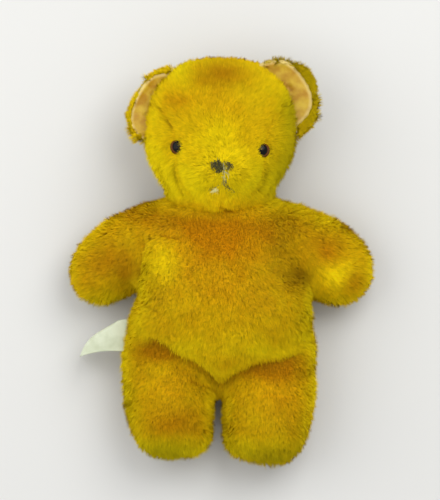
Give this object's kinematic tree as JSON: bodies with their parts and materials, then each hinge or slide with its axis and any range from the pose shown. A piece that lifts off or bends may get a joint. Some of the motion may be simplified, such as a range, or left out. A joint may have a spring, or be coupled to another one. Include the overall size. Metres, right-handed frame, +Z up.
{
  "type": "teddy bear",
  "caption": "Small stuffed plush bear lying on its back, with a sewn-on head, cupped satin-lined ears, glossy eyes, stitched nose and mouth and a ribbon label at one hip.",
  "frame": {"origin": "bottom centre of the bear's box as it lies on its back on a flat surface", "axes": "+Y from the feet to the top of the head, +Z up out of the belly and face, +X to the right of someone who looks down at the face"},
  "size_m": [0.203, 0.275, 0.0931],
  "materials": {
    "gold_plush": "matted and worn pile",
    "ear_satin": "brushed satin",
    "eye_plastic": "glossy",
    "washer_plastic": "matte",
    "dark_thread": "frayed cotton thread",
    "ribbon": "satin",
    "filling": "loose fibre"
  },
  "bodies": {
    "root": {"body_front": "gold_plush", "body_back_left": "gold_plush", "body_back_right": "gold_plush", "head_gusset": "gold_plush", "head_cheek_left": "gold_plush", "head_cheek_right": "gold_plush", "head_back_left": "gold_plush", "head_back_right": "gold_plush", "ear_back_left": "gold_plush", "ear_back_right": "gold_plush", "ear_lining_left": "ear_satin", "ear_lining_right": "ear_satin", "eye_left": "eye_plastic", "eye_right": "eye_plastic", "eye_washer_left": "washer_plastic", "eye_washer_right": "washer_plastic", "nose_embroidery": "dark_thread", "mouth_stitches": "dark_thread", "care_label": "ribbon", "head_stuffing": "filling", "body_stuffing": "filling"}
  },
  "joints": []
}
